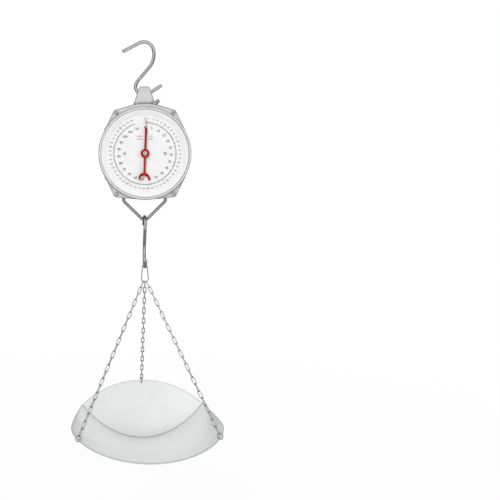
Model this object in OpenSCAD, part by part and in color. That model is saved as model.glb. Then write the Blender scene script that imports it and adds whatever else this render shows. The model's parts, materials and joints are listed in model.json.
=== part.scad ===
// A hanging dial scale with a sheet-metal scoop on three chains, in millimetres.
// The origin is the inside top of the upper hook, where the scale hangs. +Z is up and the dial faces -Y.

/* [Top hook] */
// Diameter of the top hook's wire
hook_wire_d = 7.5; // [6:0.1:9]
// Centreline radius of its upper loop
hook_top_r = 22.5; // [20:0.5:26]
// Centreline radius of the long curve below the upper loop
hook_bulge_r = 49.5; // [46:0.5:56]
// Centreline radius of its lower loop
hook_low_r = 19.5; // [17:0.5:21]
// Distance between the centres of the two loops
hook_span = 80.75; // [76:0.5:100]
// Length of the straight tip at the upper loop
hook_tip_len = 42; // [20:1:50]
// Length of the straight tip at the lower loop
hook_stub_len = 34; // [16:1:40]

/* [Hanger] */
// Diameter of the pin that the top hook carries
pin_d = 8; // [6:0.5:9]
// Distance from the pin's axis down to the dial's centre
pin_to_dial = 144; // [142:1:160]
// Overall width across the two cheeks
hanger_w = 31; // [26:1:34]
// Thickness of a cheek
cheek_t = 5; // [4:0.5:6]
// Width of the cheeks at the top
cheek_top_w = 27; // [22:1:30]
// Width of the cheeks at the case
cheek_base_w = 50; // [44:1:54]
// Diameter of the stud that carries the spring crossbar
stud_d = 12; // [8:1:14]

/* [Case] */
// Radius of the case at its sides
case_side_r = 105; // [104:1:120]
// Radius of the case's top arc
case_top_r = 113.5; // [112:0.5:126]
// Distance from the dial's centre down to the case's lowest point
case_low = 103.5; // [102:0.5:112]
// Distance of the corner lugs from the middle, sideways
lug_x = 64.5; // [60:0.5:70]
// Distance of the corner lugs from the middle, up and down
lug_z = 92; // [90:0.5:96]
// Corner radius of a lug
lug_r = 7; // [6:0.5:9]
// Distance of the casting's front face ahead of the hanging plane
front_set = 27; // [24:1:36]
// Depth of the front casting
casting_depth = 18; // [16:1:22]
// Depth of the rear cover
cover_depth = 39; // [36:1:48]
// Wall of the front casting
casting_wall = 4; // [3:0.5:5]
// Wall of the rear cover
cover_wall = 2.5; // [2:0.25:3]
// Depth over which the rear cover is bevelled towards its back
cover_round = 14; // [8:1:16]

/* [Dial] */
// Radius of the dial plate
dial_r = 98; // [94:0.5:98]
// Thickness of the dial plate
dial_t = 1.5; // [1:0.25:2]
// Outer radius of the bezel ring
bezel_r = 103.3; // [102.5:0.1:104.5]
// Depth of the bezel ring
bezel_depth = 6; // [5:0.5:8]
// Height of the lens above the casting's front face
lens_rise = 13; // [11:0.5:18]
// Wall of the lens
lens_wall = 2; // [1.5:0.25:3]
// Length of the pointer from its axis to its tip
pointer_len = 80.4; // [70:0.5:84]
// Width of the pointer's blade
pointer_w = 5; // [3:0.5:6]
// Distance from the pointer's axis to the end of its tail
tail_len = 61; // [50:1:66]
// Angle of the resting pointer, clockwise from straight up
pointer_rest = 2.5; // [0:0.5:8]

/* [Movement] */
// Tooth size of the rack and pinion
tooth_module = 0.75; // [0.75:0.05:0.8]
// Number of teeth on the pinion
pinion_teeth = 12; // [12:1:12]
// Diameter of the pointer's shaft
shaft_d = 3; // [2.5:0.25:3.5]
// Radial running clearance of the shaft in its bushes
shaft_gap = 0.05; // [0.02:0.01:0.09]
// Outer diameter of a main spring
spring_d = 18; // [14:0.5:19]
// Wire diameter of a main spring
spring_wire_d = 2.2; // [1.8:0.1:2.6]
// Distance of each main spring from the middle
spring_x = 32.5; // [31:0.5:33]
// Distance the draw frame moves down at full load
draw_travel = 27; // [22:0.5:27]

/* [Shackle and lower hook] */
// Diameter of the shackle's wire
shackle_wire_d = 7; // [6:0.25:8]
// Distance of each shackle leg from the middle
shackle_x = 48; // [46:0.5:50]
// Distance from the dial's centre down to the shackle's lowest centreline point
shackle_drop = 151.4; // [148:0.5:156]
// Diameter of the lower hook's wire
low_wire_d = 7.3; // [6:0.1:8]
// Centreline radius of its upper bend
low_top_r = 17.8; // [16:0.2:20]
// Centreline radius of its lower bend
low_bottom_r = 20.5; // [18:0.5:22]
// Centreline radius of the long curve above the lower bend
low_bulge_r = 45; // [40:1:50]
// Distance between the centres of the two bends
low_span = 77.2; // [70:0.2:92]
// Length of the straight tip at the lower bend
low_tip_len = 34; // [20:1:40]
// Length of the straight tip at the upper bend
low_stub_len = 30; // [16:1:34]

/* [Chains] */
// Wire diameter of a chain link
link_wire_d = 2.1; // [1.8:0.1:2.4]
// Outer width of a chain link
link_w = 8.2; // [7.8:0.1:9.5]
// Number of links in each side chain
side_links = 23; // [21:2:25]
// Number of links in the back chain
back_links = 20; // [18:2:22]
// Wire diameter of the load ring
ring_wire_d = 2.3; // [2:0.1:2.6]
// Centreline radius of the load ring's lower bend
ring_low_r = 7.8; // [7.4:0.1:9]
// Distance between the centres of the load ring's two bends
ring_span = 28; // [10:0.5:34]

/* [Scoop] */
// Half the scoop's greatest width, which is also its nose radius
scoop_half_w = 166.5; // [140:0.5:200]
// Distance of the scoop's front tip ahead of the hanging plane
scoop_tip_y = 226; // [205:1:240]
// Plan radius of the scoop's sides behind the nose
scoop_side_r = 1100; // [600:10:1400]
// Slope of the scoop's floor
floor_slope = 15.6; // [14:0.2:17]
// Half angle of the cone that the trough is rolled from
trough_half_angle = 34.4; // [33:0.2:36]
// Distance of the seam's lowest point behind the hanging plane
seam_y = 109; // [100:1:118]
// Distance of the seam's lowest point below the hang point
seam_drop = 954; // [930:1:1010]
// Distance of the cone's tip behind the seam, along the floor
cone_back = 233; // [225:1:245]
// Thickness of the scoop's sheet
sheet_t = 1.2; // [0.8:0.1:1.6]
// Lean of the scoop's back, from upright
back_lean = 26.7; // [24:0.5:30]
// Height of the scoop's back along its lean
back_height = 137.7; // [128:1:142]
// Radius that the scoop's back is bowed to
back_bow_r = 477; // [440:1:560]
// Radius of the arch along the top of the scoop's back
back_arch_r = 215; // [205:1:230]
// Width of the folded hem along the scoop's edges
hem_w = 4; // [3:0.5:5]
// Angle of the side chains' eyes ahead of the widest point
eye_bearing = 27; // [16:1:32]

/* [Hidden] */
$fn = 96;

// Colours
grey_paint = "#c4c6c7";
white_paint = "#e8e8e4";
steel = "#b9bcbe";
bright_steel = "#d5d8da";
sheet_metal = "#d9dfdd";
brass = "#c8a64b";
red_paint = "#8c0808";
dark_plastic = "#3a3c3e";

// Clearances: of pieces that hang in one another, of fixed pieces in their holes, and of close fits
hang_gap = 0.25;
hole_gap = 0.15;
fit_gap = 0.05;
// Amount a cut reaches past the face it opens
past = 1;
// Wires: the gap that a joint bridges between two runs, and how far the joint laps each run
bend_gap = 0.4;
bend_lap = 0.5;

// Heights along the hanging line
hook_wire_r = hook_wire_d / 2;
pin_r = pin_d / 2;
hook_top_z = -(hook_top_r - hook_wire_r);
hook_low_z = hook_top_z - hook_span;
pin_z = hook_low_z - hook_low_r + hook_wire_r + pin_r + hang_gap;
dial_z = pin_z - pin_to_dial;
shackle_wire_r = shackle_wire_d / 2;
low_wire_r = low_wire_d / 2;
shackle_z = dial_z - shackle_drop;
low_top_z = shackle_z + shackle_wire_r + hang_gap + low_wire_r - low_top_r;
low_bottom_z = low_top_z - low_span;
ring_wire_r = ring_wire_d / 2;
ring_top_r = low_wire_r + hang_gap + ring_wire_r;
ring_top_z = low_bottom_z - low_bottom_r;
ring_low_z = ring_top_z - ring_span;

// Depths, all of them Y values
casting_front_y = -front_set;
parting_y = casting_front_y + casting_depth;
cover_back_y = parting_y + cover_depth;
flange_t = 3;
dial_front_y = casting_front_y + flange_t;
dial_back_y = dial_front_y + dial_t;
plate_t = 2;
plate_front_y = dial_back_y + 6.5;
plate_back_y = plate_front_y + plate_t;
rack_t = 4;
yoke_half_t = 7;
rack_front_y = -yoke_half_t - rack_t;
pinion_w = rack_t + 1;
pinion_front_y = rack_front_y - 0.5;
bridge_front_y = pinion_front_y + pinion_w + 2.5;
bridge_back_y = bridge_front_y + plate_t;
pointer_t = 1;
hub_hole_r = 5;
pointer_back_y = dial_front_y - 4.5;
pointer_front_y = pointer_back_y - pointer_t;

// Case outline: the straight sides touch the side arc and the lugs, and so do the arcs
lug_reach = norm([lug_x, lug_z]);
lug_bearing = atan2(lug_z, lug_x);
side_touch = lug_bearing - acos((case_side_r - lug_r) / lug_reach);
top_touch = lug_bearing + acos((case_top_r - lug_r) / lug_reach);
low_rise = case_low - lug_z - lug_r;
low_arc_r = (lug_x * lug_x + low_rise * low_rise) / (2 * low_rise);

// The pin's hole in the front cheek is blind
pin_front_y = 2 - hanger_w / 2;

// Screws, bosses and plug
case_screw_r = 2;
case_head_r = 3.9;
case_head_h = 2.4;
case_screw_len = 26;
side_screw_z = 56;
side_screw_y = casting_front_y + 10;
side_screw_r = 1.5;
side_head_r = 3.2;
side_head_h = 1.8;
side_screw_len = 8;
dial_screw_x = 46;
dial_screw_r = 1.5;
dial_head_r = 3.4;
dial_head_h = 1.3;
spacer_r = 4;
plate_boss_x = 96;
plate_boss_r = 5;
cover_plug_r = 5.1;

// Bezel and lens
lens_r = bezel_r - 2.2;
lens_round = 8;
lens_dome_drop = 3.5;
lens_dome_half = lens_r - lens_round;
lens_dome_r = (lens_dome_half * lens_dome_half + lens_dome_drop * lens_dome_drop) / (2 * lens_dome_drop);
lens_base_r = bezel_r - 1.7;
flange_hole_r = 95;

// Draw frame and springs
crossbar_top = 96;
crossbar_h = 8;
crossbar_half = 44;
nut_h = 6;
bridge_block_half = 20;
yoke_top = -62;
yoke_h = 8;
yoke_half = shackle_x + 6;
spring_top = crossbar_top - crossbar_h;
spring_r = spring_d / 2;
spring_wire_r = spring_wire_d / 2;
spring_coils = floor((spring_top - yoke_top) / spring_wire_d);
plug_r = spring_r - spring_wire_d - hole_gap;
plug_h = 6;
leg_gap = 0.6;
shackle_nut_h = 5;
shackle_leg_bend = 8;
shackle_low_bend = 9;
shackle_slope = 44.1;

// Rack and pinion
pitch_r = tooth_module * pinion_teeth / 2;
tooth_pitch = PI * tooth_module;
pressure_angle = 20;
rack_rise = 0.5;
rack_depth = 0.72;
pinion_rise = 0.55;
pinion_root = 0.7;
backlash = 0.12;
base_r = pitch_r * cos(pressure_angle);
rack_w = 6;
rack_root_x = pitch_r + rack_depth;
rack_back_x = rack_root_x + rack_w;
rack_teeth = ceil((draw_travel + 10) / tooth_pitch);
rack_top = rack_teeth * tooth_pitch - 5;
rack_slide_gap = 0.06;
pillar_x = 17;
pillar_r = 2.5;
bush_r = 4;

// Zero knob
knob_bearing = 78.5;
knob_tilt = 46.8;
knob_y = casting_front_y + 6;
knob_shaft_r = 2.5;
knob_head_r = 4.4;
knob_head_h = 9;
knob_boss_r = 5;
knob_boss_h = 5;
knob_grooves = 18;

// Anchor-shaped tail of the pointer
horn_r = 12.8;
horn_z = tail_len - horn_r * 0.35;

// Scoop: the trough is a sheet rolled to a cone, cut to its plan outline
nose_y = scoop_half_w - scoop_tip_y;
floor_dir = [0, -cos(floor_slope), sin(floor_slope)];
seam_low = [0, seam_y, -seam_drop];
cone_tip = seam_low - cone_back * floor_dir;
cone_tilt = floor_slope + trough_half_angle;
cone_dir = [0, -cos(cone_tilt), sin(cone_tilt)];
cone_len = 640;
hem_t = sheet_t + 1.2;
back_up = [0, sin(back_lean), cos(back_lean)];
back_in = [0, -cos(back_lean), sin(back_lean)];
plan_low = -seam_drop - 60;
plan_tall = 260;
seam_strip_h = 6;
seam_strip_t = 1.6;

// Eyes that join the chains to the scoop
eye_r = 6;
eye_wire_r = 1.1;
eye_hole_r = 2.6;
eye_inset = 5;
eye_out = 4.6;
eye_up = 1.6;

// Height of the trough's inner face above the plan point x, y
function trough_z(x, y) =
    let (
        dy = y - cone_tip[1],
        c = cos(trough_half_angle) * cos(trough_half_angle),
        a2 = cone_dir[2] * cone_dir[2] - c,
        b1 = dy * cone_dir[1] * cone_dir[2],
        c0 = dy * dy * cone_dir[1] * cone_dir[1] - c * (x * x + dy * dy)
    )
    cone_tip[2] + (-b1 + sqrt(b1 * b1 - a2 * c0)) / a2;

function unit(v) = v / norm(v);

// A left-hand point or direction as it is for x = 1, mirrored to the right for x = -1
function on_side(x, v) = [x * v[0], v[1], v[2]];

// Turn about v that lays a link's plane square to the direction n
function link_roll(v, n) =
    let (
        ly = unit([-v[1], v[0], 0]),
        lx = cross(ly, unit(v))
    )
    atan2(-n * lx, n * ly);

// The same angle brought within a quarter turn, because a link looks alike after half a turn
function half_turn(a) = a - 180 * round(a / 180);

// Left side eye: point on the rim, the sheet's inward normal there and the direction out along the sheet
rim_x = -scoop_half_w * cos(eye_bearing);
rim_y = nose_y - scoop_half_w * sin(eye_bearing);
rim_point = [rim_x, rim_y, trough_z(rim_x, rim_y)];
rim_run = unit(rim_point - cone_tip);
rim_in = unit(cone_dir - rim_run * cos(trough_half_angle));
rim_tangent = unit(cross(rim_in, [-cos(eye_bearing), -sin(eye_bearing), 0]));
rim_out = unit(cross(rim_in, rim_tangent)) * sign(cross(rim_in, rim_tangent)[0] * rim_x);
side_hole = rim_point - eye_inset * rim_out;
side_eye = side_hole + eye_out * rim_out + eye_up * rim_in;
back_hole = seam_low + (back_height - eye_inset) * back_up;
back_eye = back_hole + eye_out * back_up + eye_up * back_in;

// Places on the load ring's lower bend where the chains start
side_start_turn = 30;
side_start = [-ring_low_r * sin(side_start_turn), 0, ring_low_z - ring_low_r * cos(side_start_turn)];
side_start_run = [cos(side_start_turn), 0, -sin(side_start_turn)];
back_start = [0, 0, ring_low_z - ring_low_r];

// Puts children at p with their +Z along v, after a turn about it
module aim(p, v, turn = 0) {
    translate(p) rotate([0, acos(v[2] / norm(v)), atan2(v[1], v[0])]) rotate([0, 0, turn]) children();
}

// Bar from x0 to x1, y0 to y1 and z0 to z1
module bar(x0, x1, y0, y1, z0, z1) {
    translate([x0, y0, z0]) cube([x1 - x0, y1 - y0, z1 - z0]);
}

// Round rod along Y between two depths
module rod_y(r, y0, y1) {
    translate([0, y1, 0]) rotate([90, 0, 0]) cylinder(h = y1 - y0, r = r);
}

// Children drawn in plan as X and Z, made solid between two depths
module slab_y(y0, y1) {
    translate([0, y1, 0]) rotate([90, 0, 0]) linear_extrude(y1 - y0) children();
}

// Joint between two runs of a wire that end a gap apart, centred on the origin along X
module wire_joint(r) {
    translate([-bend_gap / 2 - bend_lap, 0, 0]) rotate([0, 90, 0])
        cylinder(h = bend_gap + 2 * bend_lap, r = r + 0.05);
}

// Bent wire along +X from half a joint past the origin. [0, length] runs straight, and [radius, turn]
// bends, to the left for turn > 0
module wire(runs, r, tipped = true, i = 0) {
    if (i < len(runs)) {
        size = runs[i][0];
        turn = runs[i][1];
        translate([bend_gap / 2, 0, 0]) {
            if (size == 0) {
                rotate([0, 90, 0]) cylinder(h = turn, r = r);
                translate([turn, 0, 0]) wire_end(runs, r, tipped, i);
            } else {
                side = sign(turn);
                translate([0, side * size, 0]) {
                    rotate([0, 0, turn > 0 ? -90 : 90 + turn])
                        rotate_extrude(angle = abs(turn)) translate([size, 0]) circle(r);
                    rotate([0, 0, turn]) translate([0, -side * size, 0]) wire_end(runs, r, tipped, i);
                }
            }
        }
    }
}

// What follows a run: a joint and the next run, or the wire's blunt tip
module wire_end(runs, r, tipped, i) {
    if (i < len(runs) - 1) {
        translate([bend_gap / 2, 0, 0]) {
            wire_joint(r);
            wire(runs, r, tipped, i + 1);
        }
    } else if (tipped) {
        translate([-bend_lap, 0, 0]) rotate([0, 90, 0])
            cylinder(h = bend_lap + r / 3, r1 = r - 0.05, r2 = r * 0.7);
    }
}

// S hook in the XZ plane with its large loop on top, centred on the origin and open to -X
module s_hook(r, big_r, bulge_r, small_r, span, tip_len, stub_len) {
    tip_drop = 27.5;
    bulge_from = 10;
    stub_rise = 33;
    out = [cos(bulge_from), sin(bulge_from)];
    bulge_c = [bend_gap / 2, 0] + (big_r - bulge_r) * out + bend_gap * [out[1], -out[0]];
    gap = [0, -span] - bulge_c;
    cross_turn = asin((bulge_r + small_r) / norm(gap));
    run_dir = atan2(gap[1], gap[0]) - cross_turn;
    run_len = sqrt(gap * gap - (bulge_r + small_r) * (bulge_r + small_r));
    rotate([90, 0, 0]) {
        translate([0, big_r, 0]) {
            wire_joint(r);
            wire([
                [big_r, bulge_from - 90],
                [bulge_r, run_dir + 90 - bulge_from],
                [0, run_len - 2 * bend_gap],
                [small_r, stub_rise - run_dir],
                [0, stub_len]
            ], r);
            mirror([1, 0, 0]) wire([[big_r, -tip_drop], [0, tip_len]], r);
        }
    }
}

// Case outline in plan about the dial's centre, drawn in by an inset
module case_outline(inset = 0) {
    side_r = case_side_r - inset;
    corner_r = lug_r - inset;
    top_r = case_top_r - inset;
    low_r = low_arc_r - inset;
    circle(side_r);
    for (x = [-1, 1]) {
        for (z = [-1, 1]) {
            translate([x * lug_x, z * lug_z]) circle(corner_r);
            polygon([
                [0, 0],
                [x * side_r * cos(side_touch), z * side_r * sin(side_touch)],
                [x * (lug_x + corner_r * cos(side_touch)), z * (lug_z + corner_r * sin(side_touch))],
                [x * lug_x, z * lug_z]
            ]);
        }
        polygon([
            [0, 0],
            [x * lug_x, lug_z],
            [x * (lug_x + corner_r * cos(top_touch)), lug_z + corner_r * sin(top_touch)],
            [x * top_r * cos(top_touch), top_r * sin(top_touch)]
        ]);
    }
    intersection() {
        circle(top_r);
        translate([-top_r * cos(top_touch), 0]) square([2 * top_r * cos(top_touch), top_r + past]);
    }
    intersection() {
        translate([0, low_arc_r - case_low]) circle(low_r, $fn = 360);
        translate([-lug_x, -case_low - past]) square([2 * lug_x, case_low + past]);
    }
}

// Solid of the case outline between two depths
module case_slab(inset, y0, y1) {
    translate([0, 0, dial_z]) slab_y(y0, y1) case_outline(inset);
}

// Rear cover's outer body: the outline, bevelled off towards its flat back
module cover_body() {
    bevel_r = lug_reach + lug_r + cover_round;
    flat_r = lug_reach - cover_round;
    intersection() {
        case_slab(0, parting_y, cover_back_y);
        translate([0, 0, dial_z]) rotate([-90, 0, 0]) rotate_extrude() polygon([
            [0, parting_y - past],
            [bevel_r, parting_y - past],
            [bevel_r, cover_back_y - cover_round],
            [flat_r + cover_round * 0.6, cover_back_y - cover_round * 0.25],
            [flat_r, cover_back_y],
            [0, cover_back_y]
        ]);
    }
}

module top_hook() {
    color(bright_steel) translate([0, 0, hook_top_z])
        s_hook(hook_wire_r, hook_top_r, hook_bulge_r, hook_low_r, hook_span, hook_tip_len, hook_stub_len);
}

// Cheek outline about the pin, wide at the case and cut back at its top corners
module cheek_outline() {
    rise = pin_r + 5;
    shoulder = 6;
    drop = pin_to_dial - case_top_r + 6;
    polygon([
        [-cheek_base_w / 2 - 1, -drop],
        [-cheek_base_w / 2, -drop + 6],
        [-cheek_top_w / 2, rise - shoulder],
        [-cheek_top_w / 2 + 4, rise],
        [cheek_top_w / 2 - 4, rise],
        [cheek_top_w / 2, rise - shoulder],
        [cheek_base_w / 2, -drop + 6],
        [cheek_base_w / 2 + 1, -drop]
    ]);
}

module hanger_bracket() {
    half = hanger_w / 2;
    web_top = pin_z - 17.5;
    color(grey_paint) {
        difference() {
            union() {
                for (y = [-half, half - cheek_t]) {
                    translate([0, 0, pin_z]) slab_y(y, y + cheek_t) cheek_outline();
                }
                bar(-bridge_block_half, bridge_block_half, -half, half, dial_z + case_top_r - 6, web_top);
            }
            translate([0, 0, dial_z]) rod_y(case_top_r, -half - past, half + past);
            translate([0, 0, pin_z]) rod_y(pin_r + hole_gap, pin_front_y, half + past);
        }
        translate([0, 0, dial_z + crossbar_top - crossbar_h - nut_h - 2])
            cylinder(h = case_top_r - crossbar_top + crossbar_h + nut_h + 6, d = stud_d);
    }
}

module hanger_pin() {
    half = hanger_w / 2;
    head_r = pin_r + 1.8;
    color(steel) translate([0, 0, pin_z]) {
        rod_y(pin_r, pin_front_y, half + past);
        rod_y(head_r, half, half + 2.2);
    }
}

module hanger_nut() {
    color(steel) translate([0, 0, dial_z + crossbar_top - crossbar_h - nut_h]) difference() {
        cylinder(h = nut_h, r = stud_d * 0.92, $fn = 6);
        translate([0, 0, -past]) cylinder(h = nut_h + 2 * past, d = stud_d + 2 * fit_gap);
    }
}

// Straight stretch of the knob's axis, drawn along +Z from where it leaves the case
module on_knob_axis() {
    translate([case_top_r * cos(knob_bearing), knob_y, dial_z + case_top_r * sin(knob_bearing)])
        rotate([0, 90 - knob_tilt, 0]) children();
}

// Places about the dial's centre of the two screws on one side, with +Z straight out through the wall
module at_side_screw(x, z) {
    run = (side_screw_z - case_side_r * sin(side_touch)) / cos(side_touch);
    translate([
        x * (case_side_r * cos(side_touch) - run * sin(side_touch)),
        side_screw_y,
        dial_z + z * side_screw_z
    ]) rotate([0, x * (90 - z * side_touch), 0]) children();
}

module front_casting() {
    back_gap = 0.3;
    color(grey_paint) difference() {
        union() {
            difference() {
                case_slab(0, casting_front_y, parting_y);
                case_slab(casting_wall, dial_front_y, parting_y + past);
            }
            for (x = [-1, 1]) {
                for (z = [-1, 1]) {
                    translate([x * lug_x, 0, dial_z + z * lug_z]) rod_y(lug_r, casting_front_y, parting_y);
                }
                translate([x * plate_boss_x, 0, dial_z]) rod_y(plate_boss_r, dial_front_y, plate_front_y);
            }
            translate([0, 0, dial_z]) intersection() {
                bar(-bridge_block_half, bridge_block_half,
                    dial_front_y + 4, yoke_half_t + 2, crossbar_top, case_top_r);
                union() {
                    rod_y(case_top_r - cover_wall - back_gap, casting_front_y, cover_back_y);
                    rod_y(case_top_r - past, casting_front_y, parting_y);
                }
            }
            intersection() {
                on_knob_axis() translate([0, 0, -14]) cylinder(h = 14 + knob_boss_h, r = knob_boss_r);
                translate([0, 0, dial_z]) difference() {
                    rod_y(2 * case_top_r, casting_front_y, parting_y);
                    rod_y(case_top_r - casting_wall, casting_front_y - past, parting_y + past);
                }
            }
        }
        translate([0, 0, dial_z]) rod_y(flange_hole_r, casting_front_y - past, dial_front_y + past);
        for (x = [-1, 1], z = [-1, 1]) {
            translate([x * lug_x, 0, dial_z + z * lug_z])
                rod_y(case_screw_r + hole_gap, casting_front_y - past, parting_y + past);
            at_side_screw(x, z) translate([0, 0, -side_screw_len])
                cylinder(h = 2 * side_screw_len, r = side_screw_r);
        }
        translate([0, 0, dial_z]) cylinder(h = 2 * case_top_r, d = stud_d + 2 * hole_gap);
        on_knob_axis() translate([0, 0, -30]) cylinder(h = 60, r = knob_shaft_r + shaft_gap);
    }
}

module rear_cover() {
    pillar_len = 14;
    deep_y = cover_back_y - cover_round;
    color(white_paint) difference() {
        union() {
            difference() {
                cover_body();
                case_slab(cover_wall, parting_y - past, deep_y);
                translate([0, 0, dial_z])
                    rod_y(case_side_r - cover_round / 2, deep_y - past, cover_back_y - cover_wall);
            }
            for (x = [-1, 1], z = [-1, 1]) {
                translate([x * lug_x, 0, dial_z + z * lug_z])
                    rod_y(lug_r - 0.5, parting_y, parting_y + pillar_len);
            }
        }
        for (x = [-1, 1], z = [-1, 1]) {
            translate([x * lug_x, 0, dial_z + z * lug_z])
                rod_y(case_screw_r, parting_y - past, parting_y + pillar_len - 2);
        }
        translate([0, 0, dial_z]) {
            bar(-stud_d / 2 - hole_gap, stud_d / 2 + hole_gap,
                parting_y - past, stud_d / 2 + hole_gap, case_top_r / 2, 2 * case_top_r);
            for (x = [-1, 1]) {
                translate([x * shackle_x, 0, -2 * case_low])
                    cylinder(h = 1.5 * case_low, r = shackle_wire_r + leg_gap);
            }
        }
        at_plug() translate([0, 0, -10]) cylinder(h = 20, r = cover_plug_r + hole_gap);
    }
}

// Place of the round plug low on the cover's right side, with +Z out through the wall
module at_plug() {
    up = 45;
    out = sqrt(case_side_r * case_side_r - up * up);
    translate([out, cover_back_y - cover_round - 6, dial_z + up])
        rotate([0, 90 - asin(up / case_side_r), 0]) children();
}

module cover_plug() {
    color(dark_plastic) at_plug() {
        translate([0, 0, -4]) cylinder(h = 5, r = cover_plug_r);
        translate([0, 0, 0.6]) cylinder(h = 1.4, r = cover_plug_r + 1.3);
    }
}

module case_screw(x, z) {
    color(bright_steel) translate([x * lug_x, 0, dial_z + z * lug_z]) difference() {
        union() {
            rod_y(case_screw_r - 0.05, casting_front_y, casting_front_y + case_screw_len);
            rod_y(case_head_r, casting_front_y - case_head_h + 0.8, casting_front_y);
            intersection() {
                rod_y(case_head_r, casting_front_y - case_head_h, casting_front_y);
                translate([0, casting_front_y + 3.2, 0]) sphere(r = 5.6);
            }
        }
        bar(-case_head_r, case_head_r,
            casting_front_y - case_head_h - past, casting_front_y - 1.2, -0.5, 0.5);
    }
}

module side_screw(x, z) {
    color(bright_steel) at_side_screw(x, z) difference() {
        union() {
            translate([0, 0, 1 - side_screw_len])
                cylinder(h = side_screw_len - 1, r = side_screw_r - 0.03);
            cylinder(h = side_head_h, r1 = side_head_r, r2 = side_head_r - 0.6);
        }
        translate([-side_head_r, -0.4, 1]) cube([2 * side_head_r, 0.8, side_head_h]);
    }
}

module dial_plate() {
    color("white") translate([0, 0, dial_z]) difference() {
        rod_y(dial_r, dial_front_y, dial_back_y);
        rod_y(bush_r + 1, dial_front_y - past, dial_back_y + past);
        for (x = [-1, 1]) {
            translate([x * plate_boss_x, 0, 0])
                rod_y(plate_boss_r + 0.5, dial_front_y - past, dial_back_y + past);
            translate([x * dial_screw_x, 0, 0])
                rod_y(dial_screw_r + 0.1, dial_front_y - past, dial_back_y + past);
        }
    }
}

// Depth profile pieces are drawn as radius and height above the dial, then turned to face -Y
module turned_from_dial() {
    translate([0, dial_front_y, dial_z]) rotate([90, 0, 0]) rotate_extrude($fn = 192) children();
}

module dial_surround() {
    inner_r = 87;
    outer_r = lens_r - lens_wall - 1;
    color("white") turned_from_dial() polygon([
        [inner_r, 0],
        [flange_hole_r - 0.4, 0],
        [flange_hole_r - 0.4, flange_t + 0.2],
        [outer_r, flange_t + 0.2],
        [outer_r, flange_t + 3.2],
        [outer_r - 1.2, flange_t + 3.2],
        [inner_r, 0.6]
    ]);
}

// Lens profile as radius and height above the dial, drawn in by an inset
module lens_profile(inset) {
    base = inset == 0 ? flange_t : flange_t - past;
    top = flange_t + lens_rise - inset;
    dome_r = lens_dome_r - inset;
    side = lens_r - inset;
    bend = lens_round - inset;
    bend_h = top - dome_r + sqrt((dome_r - bend) * (dome_r - bend) - (side - bend) * (side - bend));
    intersection() {
        translate([0, top - dome_r]) circle(dome_r, $fn = 720);
        translate([0, base]) square([side - bend, lens_rise + 2 * past]);
    }
    translate([0, base]) square([side, bend_h - base]);
    intersection() {
        translate([side - bend, bend_h]) circle(bend);
        translate([0, base]) square([side, lens_rise + 2 * past]);
    }
}

module lens() {
    color("white", 0.35) turned_from_dial() difference() {
        union() {
            lens_profile(0);
            translate([0, flange_t]) square([lens_base_r, 2]);
        }
        lens_profile(lens_wall);
    }
}

module bezel_ring() {
    lip_r = lens_r + 0.1;
    wall_r = lens_base_r + 0.1;
    color(bright_steel) turned_from_dial() polygon([
        [wall_r, flange_t],
        [bezel_r, flange_t],
        [bezel_r, flange_t + bezel_depth - 0.8],
        [bezel_r - 0.6, flange_t + bezel_depth],
        [lip_r, flange_t + bezel_depth],
        [lip_r, flange_t + 2.1],
        [wall_r, flange_t + 2.1]
    ]);
}

module dial_screw(x) {
    color(bright_steel) translate([x * dial_screw_x, 0, dial_z]) difference() {
        union() {
            rod_y(dial_screw_r, dial_front_y - 0.2, plate_front_y + plate_t);
            rod_y(dial_head_r, dial_front_y - dial_head_h, dial_front_y);
        }
        bar(-dial_head_r, dial_head_r, dial_front_y - dial_head_h - past, dial_front_y - 0.6, -0.4, 0.4);
    }
}

module dial_spacer(x) {
    color(brass) translate([x * dial_screw_x, 0, dial_z]) difference() {
        rod_y(spacer_r, dial_back_y, plate_front_y);
        rod_y(dial_screw_r, dial_back_y - past, plate_front_y + past);
    }
}

module movement_plate() {
    half_h = 14;
    end_half_h = 6;
    reach = case_side_r - casting_wall - 1;
    color(steel) translate([0, 0, dial_z]) difference() {
        intersection() {
            union() {
                bar(-reach, reach, plate_front_y, plate_back_y, -end_half_h, end_half_h);
                bar(-dial_screw_x - 8, dial_screw_x + 8, plate_front_y, plate_back_y, -half_h, half_h);
            }
            rod_y(reach, plate_front_y - past, plate_back_y + past);
        }
        rod_y(bush_r, plate_front_y - past, plate_back_y + past);
        for (x = [-1, 1]) {
            translate([x * dial_screw_x, 0, 0])
                rod_y(dial_screw_r, plate_front_y - past, plate_back_y + past);
        }
    }
}

module movement_bridge() {
    color(brass) translate([0, 0, dial_z]) difference() {
        bar(-pillar_x - 3.5, pillar_x + 3.5, bridge_front_y, bridge_back_y, -8, 8);
        rod_y(bush_r, bridge_front_y - past, bridge_back_y + past);
    }
}

module bridge_pillar(x) {
    color(brass) translate([x * pillar_x, 0, dial_z]) rod_y(pillar_r, plate_back_y, bridge_front_y);
}

module bush(y0, y1) {
    color(brass) translate([0, 0, dial_z]) difference() {
        rod_y(bush_r, y0, y1);
        rod_y(shaft_d / 2 + shaft_gap, y0 - past, y1 + past);
    }
}

module rack_guide() {
    color(brass) translate([0, 0, dial_z])
        bar(rack_back_x + rack_slide_gap, rack_back_x + 2.4, plate_back_y, bridge_front_y, -6, 6);
}

module spring_crossbar() {
    color(steel) translate([0, 0, dial_z]) difference() {
        union() {
            bar(-crossbar_half, crossbar_half, -yoke_half_t, yoke_half_t, spring_top, crossbar_top);
            for (x = [-1, 1]) {
                translate([x * spring_x, 0, spring_top - plug_h]) cylinder(h = plug_h + past, r = plug_r);
            }
        }
        translate([0, 0, spring_top - past]) cylinder(h = crossbar_h + 2 * past, d = stud_d + 2 * hole_gap);
    }
}

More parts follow.
